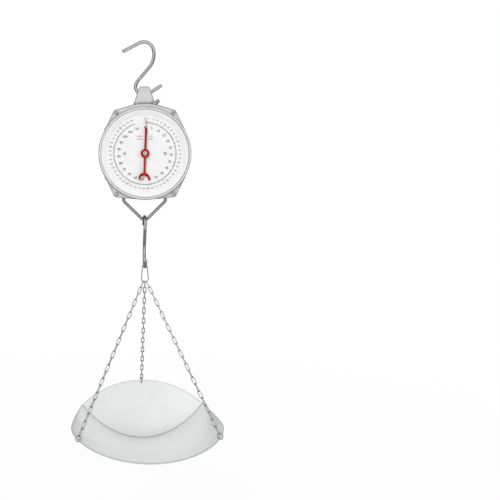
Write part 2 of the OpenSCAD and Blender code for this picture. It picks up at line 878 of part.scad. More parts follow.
// Close-wound spring, drawn as the stack of coils that it looks like
module main_spring(x) {
    coil = (spring_top - yoke_top) / spring_coils;
    core_r = spring_r - spring_wire_r;
    color(steel) translate([x * spring_x, 0, dial_z + yoke_top]) rotate_extrude() {
        translate([core_r - spring_wire_r * 0.6, 0]) square([spring_wire_r * 1.2, spring_top - yoke_top]);
        for (i = [0 : spring_coils - 1]) {
            translate([core_r, (i + 0.5) * coil]) circle(coil / 2, $fn = 24);
        }
    }
}

// Needle with a fine tip and a straight tail, drawn straight up
module needle_outline() {
    half = pointer_w / 2;
    fine_from = pointer_len - 18;
    polygon([
        [-half * 0.9, horn_r - horn_z - 1],
        [-half * 1.05, fine_from - 7],
        [-0.6, fine_from],
        [-0.45, pointer_len],
        [0.45, pointer_len],
        [0.6, fine_from],
        [half * 1.05, fine_from - 7],
        [half * 0.9, horn_r - horn_z - 1]
    ]);
}

// Needle, pierced hub and anchor-shaped tail
module pointer() {
    hub_r = 10;
    horn_t = 3.2;
    color(red_paint) translate([0, 0, dial_z]) rotate([0, pointer_rest, 0]) difference() {
        union() {
            slab_y(pointer_front_y, pointer_back_y) needle_outline();
            rod_y(hub_r, pointer_front_y, pointer_back_y);
            difference() {
                translate([0, 0, -horn_z]) rod_y(horn_r, pointer_front_y, pointer_back_y);
                translate([0, 0, -horn_z - horn_t])
                    rod_y(horn_r * 0.74, pointer_front_y - past, pointer_back_y + past);
                bar(-horn_r, horn_r,
                    pointer_front_y - past, pointer_back_y + past, -2 * tail_len, -tail_len);
            }
        }
        rod_y(hub_hole_r, pointer_front_y - past, pointer_back_y + past);
    }
}

module pointer_boss() {
    color(bright_steel) translate([0, 0, dial_z]) difference() {
        union() {
            rod_y(hub_hole_r - fit_gap, pointer_front_y, pointer_back_y + 2.5);
            rod_y(3, pointer_front_y - 1.5, pointer_front_y);
        }
        rod_y(shaft_d / 2 + fit_gap / 2, pointer_front_y - 0.5, pointer_back_y + 3);
    }
}

module pointer_shaft() {
    color(steel) translate([0, 0, dial_z]) rod_y(shaft_d / 2, pointer_front_y - 0.5, bridge_back_y + 0.5);
}

// Involute of the base circle: the point at radius r, with its polar angle from the flank's foot
function flank_angle(r) = r <= base_r ? 0 : let (a = acos(base_r / r)) tan(a) * 180 / PI - a;

// Pinion tooth outline, its middle along +X
module pinion_tooth() {
    tip_r = pitch_r + pinion_rise;
    root_r = pitch_r - pinion_root;
    half_tooth = 90 / pinion_teeth - backlash / 2 / pitch_r * 180 / PI;
    steps = 5;
    radii = [for (i = [0 : steps]) base_r + (tip_r - base_r) * i / steps];
    foot = -flank_angle(pitch_r) - half_tooth;
    lower = [for (r = radii) let (a = flank_angle(r) + foot) [r * cos(a), r * sin(a)]];
    upper = [for (i = [steps : -1 : 0]) [lower[i][0], -lower[i][1]]];
    polygon(concat(
        [[0, 0], [root_r * cos(foot), root_r * sin(foot)]],
        lower, upper,
        [[root_r * cos(foot), -root_r * sin(foot)]]
    ));
}

// The pinion stands with a gap between teeth facing the rack, along +X
module pinion() {
    color(brass) translate([0, 0, dial_z]) difference() {
        slab_y(pinion_front_y, pinion_front_y + pinion_w) {
            circle(pitch_r - pinion_root);
            for (i = [0 : pinion_teeth - 1]) {
                rotate((i + 0.5) * 360 / pinion_teeth) pinion_tooth();
            }
        }
        rod_y(shaft_d / 2, pinion_front_y - past, pinion_front_y + pinion_w + past);
    }
}

// The rack's teeth point to -X, one of them level with the pointer's axis at rest
module rack() {
    half = tooth_pitch / 4 - backlash / 2;
    slope = tan(pressure_angle);
    foot_top = yoke_top + 1;
    foot_low = yoke_top - yoke_h;
    color(steel) translate([0, 0, dial_z]) {
        bar(rack_root_x, rack_back_x, rack_front_y, -yoke_half_t, foot_low, rack_top);
        bar(-8, rack_root_x + past, rack_front_y, -yoke_half_t, foot_low, foot_top);
        for (i = [-2 : rack_teeth - 3]) {
            z = i * tooth_pitch;
            slab_y(rack_front_y, -yoke_half_t) polygon([
                [rack_root_x + 0.1, z - half - rack_depth * slope],
                [pitch_r - rack_rise, z - half + rack_rise * slope],
                [pitch_r - rack_rise, z + half - rack_rise * slope],
                [rack_root_x + 0.1, z + half + rack_depth * slope]
            ]);
        }
    }
}

module draw_yoke() {
    color(steel) translate([0, 0, dial_z]) difference() {
        union() {
            bar(-yoke_half, yoke_half, -yoke_half_t, yoke_half_t, yoke_top - yoke_h, yoke_top);
            for (x = [-1, 1]) {
                translate([x * spring_x, 0, yoke_top - past]) cylinder(h = plug_h + past, r = plug_r);
            }
        }
        for (x = [-1, 1]) {
            translate([x * shackle_x, 0, yoke_top - yoke_h - past])
                cylinder(h = yoke_h + 2 * past, r = shackle_wire_r + fit_gap);
        }
    }
}

module shackle() {
    bends = shackle_low_bend * sin(shackle_slope) + shackle_leg_bend * (1 - sin(shackle_slope));
    run = (shackle_x - bend_gap / 2 - bends) / cos(shackle_slope);
    leg_low = -shackle_drop + shackle_low_bend * (1 - cos(shackle_slope)) + run * sin(shackle_slope)
        + shackle_leg_bend * cos(shackle_slope);
    leg = yoke_top + shackle_nut_h + 1 - leg_low;
    half = [
        [shackle_low_bend, shackle_slope],
        [0, run - 2 * bend_gap],
        [shackle_leg_bend, 90 - shackle_slope],
        [0, leg - bend_gap]
    ];
    color(bright_steel) translate([0, 0, shackle_z]) rotate([90, 0, 0]) {
        wire_joint(shackle_wire_r);
        wire(half, shackle_wire_r);
        mirror([1, 0, 0]) wire(half, shackle_wire_r);
    }
}

module shackle_nut(x) {
    color(steel) translate([x * shackle_x, 0, dial_z + yoke_top]) difference() {
        cylinder(h = shackle_nut_h, r = 6, $fn = 6);
        translate([0, 0, -past]) cylinder(h = shackle_nut_h + 2 * past, r = shackle_wire_r + fit_gap);
    }
}

module zero_knob() {
    head_from = knob_boss_h + 0.5;
    color(bright_steel) on_knob_axis() {
        translate([0, 0, -8]) cylinder(h = 8 + head_from, r = knob_shaft_r);
        translate([0, 0, head_from]) difference() {
            union() {
                cylinder(h = knob_head_h - 1, r = knob_head_r);
                cylinder(h = knob_head_h, r = knob_head_r - 1);
            }
            for (i = [0 : knob_grooves - 1]) {
                rotate(i * 360 / knob_grooves) translate([knob_head_r, 0, -past])
                    cylinder(h = knob_head_h + 2 * past, r = 0.4, $fn = 16);
            }
        }
    }
}

module lower_hook() {
    color(bright_steel) translate([0, 0, low_bottom_z]) rotate([0, 0, -90]) rotate([0, 180, 0])
        s_hook(low_wire_r, low_bottom_r, low_bulge_r, low_top_r, low_span, low_tip_len, low_stub_len);
}

module load_ring() {
    lean = asin((ring_low_r - ring_top_r) / ring_span);
    side_len = ring_span * cos(lean);
    half = [[ring_low_r, 90 + lean], [0, side_len - 2 * bend_gap], [ring_top_r, 90 - lean]];
    color(bright_steel) translate([0, 0, ring_low_z - ring_low_r]) rotate([90, 0, 0]) {
        wire_joint(ring_wire_r);
        translate([0, ring_low_r + ring_span + ring_top_r, 0]) wire_joint(ring_wire_r);
        wire(half, ring_wire_r, false);
        mirror([1, 0, 0]) wire(half, ring_wire_r, false);
    }
}

// One chain link in the XZ plane, centred, with its end wires a length apart
module link(length) {
    r = link_wire_d / 2;
    bend = link_w / 2 - r;
    straight = length - 2 * bend;
    for (s = [-1, 1]) {
        translate([s * bend, 0, -straight / 2]) cylinder(h = straight, r = r);
        translate([0, 0, s * straight / 2]) rotate([s * 90, 0, 0])
            rotate_extrude(angle = 180) translate([bend, 0]) circle(r);
    }
}

// Taut chain of n links from the load ring's wire at p to the eye centred at q
module chain(p, q, n, first_plane, last_plane) {
    run = q - p;
    hung = link_wire_d + hang_gap;
    start = ring_wire_r + link_wire_d / 2 + hang_gap;
    finish = eye_wire_r + link_wire_d / 2 + hang_gap;
    // Whole microns, so that the straight and bent parts of a link meet exactly
    length = round(1000 * (norm(run) - eye_r + start + finish + (n - 1) * hung) / n) / 1000;
    roll = link_roll(run, first_plane);
    twist = half_turn(link_roll(run, last_plane) - roll - 90 * (n - 1));
    for (i = [0 : n - 1]) {
        along = length / 2 - start + i * (length - hung);
        aim(p + unit(run) * along, run, roll + i * (90 + twist / (n - 1))) link(length);
    }
}

// Chain on the left for x = 1, on the right for x = -1
module side_chain(x) {
    p = on_side(x, side_start);
    q = on_side(x, side_eye);
    ring_normal = unit(cross(q - p, on_side(x, rim_out)));
    chain(p, q, side_links, on_side(x, side_start_run), cross(ring_normal, unit(q - p)));
}

module chain_left() {
    color(bright_steel) side_chain(1);
}

module chain_right() {
    color(bright_steel) side_chain(-1);
}

module chain_back() {
    color(bright_steel) chain(back_start, back_eye, back_links, [1, 0, 0], [0, 1, 0]);
}

module eye(p, run, out) {
    aim(p, cross(run, out)) rotate_extrude() translate([eye_r, 0]) circle(eye_wire_r);
}

module side_eye_loop(x) {
    color(bright_steel) eye(on_side(x, side_eye), on_side(x, side_eye - side_start), on_side(x, rim_out));
}

module eye_left() {
    side_eye_loop(1);
}

module eye_right() {
    side_eye_loop(-1);
}

module eye_back() {
    color(bright_steel) eye(back_eye, back_eye - back_start, back_up);
}

// Solid cone whose surface lies a distance inside the trough's inner face (outside for negative values)
module trough_cone(inside) {
    shift = inside / sin(trough_half_angle);
    aim(cone_tip + shift * cone_dir, cone_dir)
        cylinder(h = cone_len, r1 = 0, r2 = cone_len * tan(trough_half_angle), $fn = 240);
}

// Tall solid of the scoop's round nose, drawn in by an inset
module nose_solid(inset) {
    translate([0, nose_y, plan_low]) cylinder(h = plan_tall, r = scoop_half_w - inset, $fn = 240);
}

// Tall solid between the scoop's two side arcs, drawn in by an inset
module side_solid(inset) {
    middle = scoop_side_r - scoop_half_w;
    intersection() {
        translate([-middle, nose_y, plan_low]) cylinder(h = plan_tall, r = scoop_side_r - inset, $fn = 720);
        translate([middle, nose_y, plan_low]) cylinder(h = plan_tall, r = scoop_side_r - inset, $fn = 720);
    }
}

// Tall cylinder whose front face is the scoop's back sheet, set back by a distance
module back_cylinder(set_back) {
    aim(seam_low - back_bow_r * [0, cos(back_lean), -sin(back_lean)] - 300 * back_up, back_up)
        cylinder(h = 700, r = back_bow_r + set_back, $fn = 720);
}

// Part of the trough ahead of or behind the nose's centre. The children are the plan solids of the
// trough's edge and of its hem's inner edge
module trough_half(y0, y1) {
    difference() {
        intersection() {
            trough_cone(-hem_t);
            bar(-scoop_half_w - 5, scoop_half_w + 5, y0, y1, plan_low, plan_low + plan_tall);
            children(0);
        }
        trough_cone(0);
        difference() {
            children(1);
            trough_cone(-sheet_t);
        }
    }
}

module scoop_trough() {
    color(sheet_metal) difference() {
        union() {
            trough_half(-scoop_tip_y - 5, nose_y) {
                nose_solid(0);
                nose_solid(hem_w);
            }
            trough_half(nose_y, seam_y + 120) {
                intersection() {
                    side_solid(0);
                    back_cylinder(sheet_t);
                }
                side_solid(hem_w);
            }
        }
        for (x = [-1, 1]) {
            aim(on_side(x, side_hole - 6 * rim_in), on_side(x, rim_in)) cylinder(h = 12, r = eye_hole_r);
        }
    }
}

// Solid under the arch along the top of the scoop's back, drawn in by an inset
module arch_solid(inset) {
    aim(seam_low + (back_height - back_arch_r) * back_up - 80 * back_in, back_in)
        cylinder(h = 160, r = back_arch_r - inset, $fn = 240);
}

module scoop_back() {
    color(sheet_metal) difference() {
        intersection() {
            union() {
                difference() {
                    back_cylinder(sheet_t);
                    back_cylinder(0);
                }
                difference() {
                    back_cylinder(hem_t);
                    back_cylinder(0);
                    arch_solid(hem_w);
                }
            }
            arch_solid(0);
            trough_cone(fit_gap);
        }
        aim(back_hole - 8 * back_in, back_in) cylinder(h = 16, r = eye_hole_r);
    }
}

// Folded strip where the trough's rear edge is turned up behind the back
module scoop_seam() {
    color(sheet_metal) intersection() {
        difference() {
            back_cylinder(sheet_t + seam_strip_t);
            back_cylinder(sheet_t + fit_gap);
        }
        difference() {
            trough_cone(0);
            trough_cone(seam_strip_h);
        }
        arch_solid(hem_w);
        side_solid(0);
    }
}

top_hook();
hanger_bracket();
hanger_pin();
hanger_nut();
front_casting();
rear_cover();
cover_plug();
case_screw(-1, 1);  // case_screw_1
case_screw(1, 1);  // case_screw_2
case_screw(1, -1);  // case_screw_3
case_screw(-1, -1);  // case_screw_4
side_screw(-1, 1);  // side_screw_1
side_screw(1, 1);  // side_screw_2
side_screw(1, -1);  // side_screw_3
side_screw(-1, -1);  // side_screw_4
dial_plate();
dial_surround();
dial_screw(-1);  // dial_screw_left
dial_screw(1);  // dial_screw_right
dial_spacer(-1);  // dial_spacer_left
dial_spacer(1);  // dial_spacer_right
bezel_ring();
lens();
movement_plate();
movement_bridge();
bridge_pillar(-1);  // bridge_pillar_left
bridge_pillar(1);  // bridge_pillar_right
bush(plate_front_y, plate_back_y);  // front_bush
bush(bridge_front_y, bridge_back_y);  // rear_bush
rack_guide();
spring_crossbar();
main_spring(-1);  // main_spring_left
main_spring(1);  // main_spring_right
pointer();
pointer_boss();
pointer_shaft();
pinion();
zero_knob();
draw_yoke();
rack();
shackle();
shackle_nut(-1);  // shackle_nut_left
shackle_nut(1);  // shackle_nut_right
lower_hook();
load_ring();
chain_left();
chain_right();
chain_back();
eye_left();
eye_right();
eye_back();
scoop_trough();
scoop_back();
scoop_seam();
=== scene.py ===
import json
import math

import bmesh
import bpy
from mathutils import Matrix, Vector


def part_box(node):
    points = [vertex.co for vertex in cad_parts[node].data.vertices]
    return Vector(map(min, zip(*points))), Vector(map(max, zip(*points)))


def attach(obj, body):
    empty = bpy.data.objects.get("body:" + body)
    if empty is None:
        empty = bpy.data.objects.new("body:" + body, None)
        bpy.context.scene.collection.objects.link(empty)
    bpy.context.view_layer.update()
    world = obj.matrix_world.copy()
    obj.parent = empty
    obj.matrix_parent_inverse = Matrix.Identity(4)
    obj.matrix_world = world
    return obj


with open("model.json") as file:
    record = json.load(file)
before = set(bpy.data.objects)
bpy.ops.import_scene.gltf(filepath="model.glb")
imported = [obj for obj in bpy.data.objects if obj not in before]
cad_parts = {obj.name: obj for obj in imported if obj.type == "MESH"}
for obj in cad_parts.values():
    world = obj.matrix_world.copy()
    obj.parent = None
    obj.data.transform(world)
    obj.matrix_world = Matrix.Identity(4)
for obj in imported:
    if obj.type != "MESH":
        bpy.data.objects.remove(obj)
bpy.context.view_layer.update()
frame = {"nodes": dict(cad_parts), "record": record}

MM = 0.001
nodes = frame["nodes"]

# Places taken from the frame
dial_low, dial_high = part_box("dial_plate")
DIAL_CENTRE = (dial_low + dial_high) / 2
DIAL_FACE_Y = dial_low.y

# Camera, at the photograph's viewing angle: the middle pixel is where its axis meets the image
CAMERA_PLACE = (-0.080, -1.340, -0.333)
CAMERA_YAW = 1.5
CAMERA_PITCH = 0.1
CAMERA_ROLL = -0.25
FOCAL_PIXELS = 582
MIDDLE_PIXEL = (125, 187)
IMAGE_PIXELS = 500
SENSOR_MM = 36

# Floor below the hanging scoop: its share of plain white grows from its middle to its fade radius
FLOOR_Z = -1.25
FLOOR_R = 4.0
FLOOR_SIDES = 96
FLOOR_TONE = 0.88
FADE_R = FLOOR_R * 0.6
WHITE_AT_MIDDLE = 0.85
WHITE_AT_FADE_R = 1.0

# Lamps: name, place, width and height, power in watts
LAMP_TARGET = (0, 0, -0.5)
LAMPS = (
    ("key", (-1.2, -2.4, 1.4), (1.2, 1.6), 44),
    ("fill", (2.2, -1.4, 0.2), (1.2, 1.8), 14),
    ("rear", (0.6, 2.2, 1.0), (1.6, 1.2), 18),
)

# World: the level that glossy rays meet away from the dark bands, and the level that lights the object
GLOSSY_LEVEL = 0.96
PLAIN_LEVEL = 0.60
WHITE = (1, 1, 1, 1)

# Shader settings that the materials share
NOISE_ROUGHNESS = 0.55
BEVEL_SAMPLES = 6
CORNER_SAMPLES = 8

# Dial print: angles run clockwise from straight up
DEGREES_PER_KG = 3.1
KG_PER_LB = 0.45359
KG_FULL = 110
LB_FULL = 240
CIRCLE_R = 70.5 * MM
CIRCLE_W = 1.2 * MM
KG_NUMBER_R = 59 * MM
KG_NUMBER_SIZE = 7.6 * MM
LB_NUMBER_R = 79.5 * MM
LB_NUMBER_SIZE = 4.6 * MM
LB_MAJOR_GROWTH = 1.2
PRINT_LIFT = 0.03 * MM
PRINT_DEPTH = 0.04 * MM
ARC_STEP = 2.0
FONT_STEPS = 3
FONT_WEIGHT = 0.02

# Dial marks, as length and width
KG_LONG_MARK = (4.5 * MM, 0.55 * MM)
KG_SHORT_MARK = (2.2 * MM, 0.3 * MM)
LB_LONG_MARK = (5.0 * MM, 0.5 * MM)
LB_MIDDLE_MARK = (3.6 * MM, 0.35 * MM)
LB_SHORT_MARK = (1.6 * MM, 0.2 * MM)

# Capacity lines, left and right of the middle
CAPACITY_SIZE = 4.2 * MM
CAPACITY_X = 13 * MM
CAPACITY_UPPER_Z = 39 * MM
CAPACITY_LOWER_Z = 32.5 * MM


def make_camera():
    yaw = math.radians(CAMERA_YAW)
    pitch = math.radians(CAMERA_PITCH)
    roll = math.radians(CAMERA_ROLL)
    forward = Vector((math.sin(yaw) * math.cos(pitch), math.cos(yaw) * math.cos(pitch), math.sin(pitch)))
    level = Vector((math.cos(yaw), -math.sin(yaw), 0))
    upright = level.cross(forward)
    right = math.cos(roll) * level + math.sin(roll) * upright
    up = math.cos(roll) * upright - math.sin(roll) * level
    data = bpy.data.cameras.new("camera")
    data.sensor_width = SENSOR_MM
    data.lens = FOCAL_PIXELS / IMAGE_PIXELS * SENSOR_MM
    data.shift_x = 0.5 - MIDDLE_PIXEL[0] / IMAGE_PIXELS
    data.shift_y = MIDDLE_PIXEL[1] / IMAGE_PIXELS - 0.5
    camera = bpy.data.objects.new("camera", data)
    place = Matrix((right, up, -forward)).transposed().to_4x4()
    place.translation = CAMERA_PLACE
    camera.matrix_world = place
    bpy.context.scene.collection.objects.link(camera)
    bpy.context.scene.camera = camera


# Shader helpers

def link(tree, source, target):
    tree.links.new(source, target)


def add_node(tree, kind, **values):
    node = tree.nodes.new(kind)
    for name, value in values.items():
        setattr(node, name, value)
    return node


def math_node(tree, operation, *values):
    node = add_node(tree, "ShaderNodeMath", operation=operation)
    for socket, value in zip(node.inputs, values):
        if isinstance(value, (int, float)):
            socket.default_value = value
        else:
            link(tree, value, socket)
    return node.outputs[0]


def any_of(tree, *values):
    total = values[0]
    for value in values[1:]:
        total = math_node(tree, "MAXIMUM", total, value)
    return total


def noise(tree, scale, stretch=(1, 1, 1), detail=4.0):
    """Noise fixed to the object, with a scale per metre and a stretch along each axis."""
    place = add_node(tree, "ShaderNodeTexCoord").outputs["Object"]
    mapping = add_node(tree, "ShaderNodeMapping")
    mapping.inputs["Scale"].default_value = stretch
    link(tree, place, mapping.inputs["Vector"])
    texture = add_node(tree, "ShaderNodeTexNoise")
    texture.inputs["Scale"].default_value = scale
    texture.inputs["Detail"].default_value = detail
    texture.inputs["Roughness"].default_value = NOISE_ROUGHNESS
    link(tree, mapping.outputs[0], texture.inputs["Vector"])
    return texture.outputs["Fac"]


def ramp(tree, factor, stops):
    """Colour ramp with stops of position and grey level or colour."""
    node = add_node(tree, "ShaderNodeValToRGB")
    elements = node.color_ramp.elements
    while len(elements) < len(stops):
        elements.new(0.5)
    for element, (position, colour) in zip(elements, stops):
        element.position = position
        shade = (colour,) * 3 if isinstance(colour, (int, float)) else colour
        element.color = (*shade, 1)
    link(tree, factor, node.inputs[0])
    return node.outputs[0]


def remap(tree, value, low, high):
    node = add_node(tree, "ShaderNodeMapRange")
    node.inputs["To Min"].default_value = low
    node.inputs["To Max"].default_value = high
    link(tree, value, node.inputs["Value"])
    return node.outputs[0]


def new_material(name, metallic, roughness):
    material = bpy.data.materials.new(name)
    material.use_nodes = True
    tree = material.node_tree
    shader = tree.nodes["Principled BSDF"]
    shader.inputs["Metallic"].default_value = metallic
    shader.inputs["Roughness"].default_value = roughness
    return material, tree, shader


def relief(tree, shader, height, strength, depth, edge_r=0.0):
    """Bump from a height, over edges that are softened to a small radius."""
    bump = add_node(tree, "ShaderNodeBump")
    bump.inputs["Strength"].default_value = strength
    bump.inputs["Distance"].default_value = depth
    link(tree, height, bump.inputs["Height"])
    if edge_r:
        bevel = add_node(tree, "ShaderNodeBevel", samples=BEVEL_SAMPLES)
        bevel.inputs["Radius"].default_value = edge_r
        link(tree, bevel.outputs[0], bump.inputs["Normal"])
    link(tree, bump.outputs[0], shader.inputs["Normal"])


def worn_edges(tree, colour, bare_and_shade, edge_r, wear_and_shade_amount, most):
    """Mixes in a bare colour where an edge is sharp and a noise lets it through; on some parts this is
    wear, on others painted shade along the edges.
    """
    flat = add_node(tree, "ShaderNodeNewGeometry").outputs["Normal"]
    bevel = add_node(tree, "ShaderNodeBevel", samples=BEVEL_SAMPLES)
    bevel.inputs["Radius"].default_value = edge_r
    dot = add_node(tree, "ShaderNodeVectorMath", operation="DOT_PRODUCT")
    link(tree, flat, dot.inputs[0])
    link(tree, bevel.outputs[0], dot.inputs[1])
    sharp = math_node(tree, "SUBTRACT", 1.0, dot.outputs["Value"])
    patchy = math_node(tree, "MULTIPLY", sharp, remap(tree, noise(tree, 180), wear_and_shade_amount * 0.3, wear_and_shade_amount))
    mix = add_node(tree, "ShaderNodeMix", data_type="RGBA")
    link(tree, math_node(tree, "MINIMUM", patchy, most), mix.inputs["Factor"])
    link(tree, colour, mix.inputs["A"])
    mix.inputs["B"].default_value = (*bare_and_shade, 1)
    return mix.outputs["Result"]


def shaded_corners(tree, colour, dark, reach, stops):
    """Darkens a colour where nearby surfaces close it in."""
    corner = add_node(tree, "ShaderNodeAmbientOcclusion", samples=CORNER_SAMPLES)
    corner.inputs["Distance"].default_value = reach
    shade = add_node(tree, "ShaderNodeMix", data_type="RGBA")
    link(tree, ramp(tree, corner.outputs["AO"], stops), shade.inputs["Factor"])
    shade.inputs["A"].default_value = (*dark, 1)
    link(tree, colour, shade.inputs["B"])
    return shade.outputs["Result"]


# Materials

def paint(name, dark, light, bare_and_shade, roughness, grain, edge_r, wear_and_shade_amount, painted_shade_reach):
    """Sprayed paint: faint mottling, orange-peel relief, painted shade in the corners, and edges darkened
    partly by wear and partly by painted shade.
    """
    material, tree, shader = new_material(name, 0.0, roughness)
    tone = ramp(tree, noise(tree, 45, detail=6), [(0.3, dark), (0.7, light)])
    # Painted shade: the colour darkens where nearby surfaces close the corners in.
    tone = shaded_corners(tree, tone, bare_and_shade, painted_shade_reach, [(0.4, 0.0), (0.9, 1.0)])
    # Sharp edges take the dark colour: worn paint on some parts, painted shade along the edges on others.
    link(tree, worn_edges(tree, tone, bare_and_shade, edge_r, wear_and_shade_amount, 0.85), shader.inputs["Base Color"])
    spread = remap(tree, noise(tree, 260), roughness - 0.06, roughness + 0.08)
    link(tree, spread, shader.inputs["Roughness"])
    relief(tree, shader, noise(tree, 1400, detail=2), grain, 0.08 * MM, 0.7 * MM)
    return material


def plated_wire(name, colour, roughness):
    """Bright plated wire with faint drawing lines and dulled patches; its colour is darker towards its
    outline and at sharp edges, a painted reflection of dark surroundings and painted shade.
    """
    material, tree, shader = new_material(name, 1.0, roughness)
    # Painted reflection and painted shade: the dark levels that the colour falls to towards the outline
    # and at sharp edges.
    edge = tuple(0.10 * c for c in colour)
    middle = tuple(0.42 * c for c in colour)
    facing = add_node(tree, "ShaderNodeLayerWeight").outputs["Facing"]
    wavy = math_node(tree, "ADD", facing, remap(tree, noise(tree, 120, detail=6), -0.12, 0.12))
    tone = ramp(tree, wavy, [(0.04, colour), (0.24, middle), (0.52, edge)])
    link(tree, worn_edges(tree, tone, edge, 1.0 * MM, 12.0, 0.9), shader.inputs["Base Color"])
    spread = remap(tree, noise(tree, 400), roughness * 0.6, roughness * 1.8)
    link(tree, spread, shader.inputs["Roughness"])
    relief(tree, shader, noise(tree, 900, (1, 1, 0.2)), 0.15, 0.05 * MM)
    return material


def rolled_sheet(name):
    """Bright sheet metal: rolling lines along the scoop, soft blotches, fine scratches, painted shade in
    its corners and a painted shadow line along its sharp edges.
    """
    material, tree, shader = new_material(name, 0.65, 0.3)
    blotch = noise(tree, 14, detail=5)
    tone = ramp(tree, blotch, [(0.3, (0.84, 0.86, 0.85)), (0.7, (0.88, 0.90, 0.89))])
    # Painted shade: the trough darkens where the back plate and sides close it in.
    tone = shaded_corners(tree, tone, (0.32, 0.33, 0.325), 90 * MM, [(0.2, 0.0), (0.7, 1.0)])
    # Painted shadow: a dark line along the rim and other sharp edges.
    tone = worn_edges(tree, tone, (0.16, 0.165, 0.165), 2.4 * MM, 12.0, 0.9)
    link(tree, tone, shader.inputs["Base Color"])
    lines = noise(tree, 700, (1, 0.02, 0.3), detail=3)
    fine = noise(tree, 90, (1, 0.08, 1), detail=8)
    scratch = ramp(tree, fine, [(0.48, 0.0), (0.5, 1.0), (0.52, 0.0)])
    spread = math_node(tree, "ADD", remap(tree, blotch, 0.24, 0.40), remap(tree, scratch, 0.0, 0.08))
    link(tree, spread, shader.inputs["Roughness"])
    relief(tree, shader, lines, 0.2, 0.03 * MM, 0.5 * MM)
    return material


def brushed(name, colour, roughness):
    """Turned or brushed metal with fine lines along z."""
    stretch = (1, 1, 0.05)
    material, tree, shader = new_material(name, 1.0, roughness)
    dark = tuple(0.75 * c for c in colour)
    edge = tuple(0.25 * c for c in colour)
    tone = ramp(tree, noise(tree, 600, stretch), [(0.35, dark), (0.65, colour)])
    link(tree, worn_edges(tree, tone, edge, 1.0 * MM, 12.0, 0.9), shader.inputs["Base Color"])
    spread = remap(tree, noise(tree, 220), roughness * 0.8, roughness * 1.3)
    link(tree, spread, shader.inputs["Roughness"])
    relief(tree, shader, noise(tree, 1500, stretch), 0.2, 0.03 * MM, 0.3 * MM)
    return material


def dial_ground(name):
    """Matt white dial enamel with a faint mottle."""
    material, tree, shader = new_material(name, 0.0, 0.5)
    tone = ramp(tree, noise(tree, 30, detail=6), [(0.3, 0.81), (0.7, 0.84)])
    link(tree, tone, shader.inputs["Base Color"])
    link(tree, remap(tree, noise(tree, 300), 0.42, 0.58), shader.inputs["Roughness"])
    relief(tree, shader, noise(tree, 1600, detail=2), 0.05, 0.03 * MM, 0.4 * MM)
    return material


def ink(name, colour):
    """Printing ink, slightly uneven."""
    material, tree, shader = new_material(name, 0.0, 0.45)
    thin = tuple(min(1.0, 1.35 * c + 0.03) for c in colour)
    tone = ramp(tree, noise(tree, 900, detail=3), [(0.4, colour), (0.75, thin)])
    link(tree, tone, shader.inputs["Base Color"])
    return material


def gloss_paint(name, colour):
    """Glossy pointer paint, darker where it pools."""
    material, tree, shader = new_material(name, 0.0, 0.28)
    deep = tuple(0.7 * c for c in colour)
    tone = ramp(tree, noise(tree, 160, detail=4), [(0.3, deep), (0.65, colour)])
    link(tree, tone, shader.inputs["Base Color"])
    shader.inputs["Specular IOR Level"].default_value = 0.15
    relief(tree, shader, noise(tree, 900, detail=2), 0.08, 0.05 * MM, 0.25 * MM)
    return material


def clear_lens(name):
    """Clear moulded lens: see-through in its middle, whiter where its rim slopes away, a painted sheen in
    place of the rim's reflections.
    """
    material, tree, shader = new_material(name, 0.0, 0.04)
    shader.inputs["Base Color"].default_value = (0.93, 0.94, 0.94, 1)
    shader.inputs["IOR"].default_value = 1.1
    axes = add_node(tree, "ShaderNodeSeparateXYZ")
    link(tree, add_node(tree, "ShaderNodeTexCoord").outputs["Normal"], axes.inputs[0])
    slope = math_node(tree, "SUBTRACT", 1.0, math_node(tree, "ABSOLUTE", axes.outputs["Y"]))
    # Painted sheen: the sloping rim turns opaque white where a clear rim would show reflections.
    painted_rim_sheen = ramp(tree, slope, [(0.15, 0.003), (0.3, 0.2), (0.42, 0.7), (0.7, 0.9)])
    link(tree, painted_rim_sheen, shader.inputs["Alpha"])
    haze = remap(tree, noise(tree, 60, detail=6), 0.03, 0.09)
    link(tree, haze, shader.inputs["Roughness"])
    return material


def moulded(name, colour, roughness):
    """Moulded plastic with a fine texture."""
    material, tree, shader = new_material(name, 0.0, roughness)
    pale = tuple(1.4 * c for c in colour)
    tone = ramp(tree, noise(tree, 300, detail=5), [(0.35, colour), (0.7, pale)])
    link(tree, tone, shader.inputs["Base Color"])
    relief(tree, shader, noise(tree, 2500, detail=2), 0.2, 0.05 * MM, 0.4 * MM)
    return material


def make_finishes():
    """One material for each slot of the record."""
    return {
        # Casting: the near-black edge colour over a wide radius is painted shade along its edges, and its
        # corner reach paints shade in the groove round the bezel.
        "casting_grey": paint(
            "casting_grey", 0.56, 0.63, (0.05,) * 3, 0.38, 0.25, 4.5 * MM, 26.0, 10 * MM),
        # Cover: the corner reach paints shade into its corners; its sharp edges fade to the grey colour.
        "cover_white": paint(
            "cover_white", (0.76, 0.765, 0.74), (0.82, 0.82, 0.80), (0.50, 0.50, 0.48),
            0.36, 0.15, 0.8 * MM, 4.0, 9 * MM),
        "chrome_wire": plated_wire("chrome_wire", (0.64, 0.65, 0.66), 0.09),
        "chain_chrome": plated_wire("chain_chrome", (0.80, 0.81, 0.82), 0.12),
        "steel": brushed("steel", (0.72, 0.73, 0.74), 0.28),
        "spring_steel": brushed("spring_steel", (0.36, 0.37, 0.39), 0.32),
        "scoop_metal": rolled_sheet("scoop_metal"),
        "brass": brushed("brass", (0.80, 0.62, 0.30), 0.24),
        "dial_white": dial_ground("dial_white"),
        "pointer_red": gloss_paint("pointer_red", (0.38, 0.011, 0.003)),
        "lens_clear": clear_lens("lens_clear"),
        "plug_dark": moulded("plug_dark", (0.035, 0.033, 0.03), 0.45),
    }


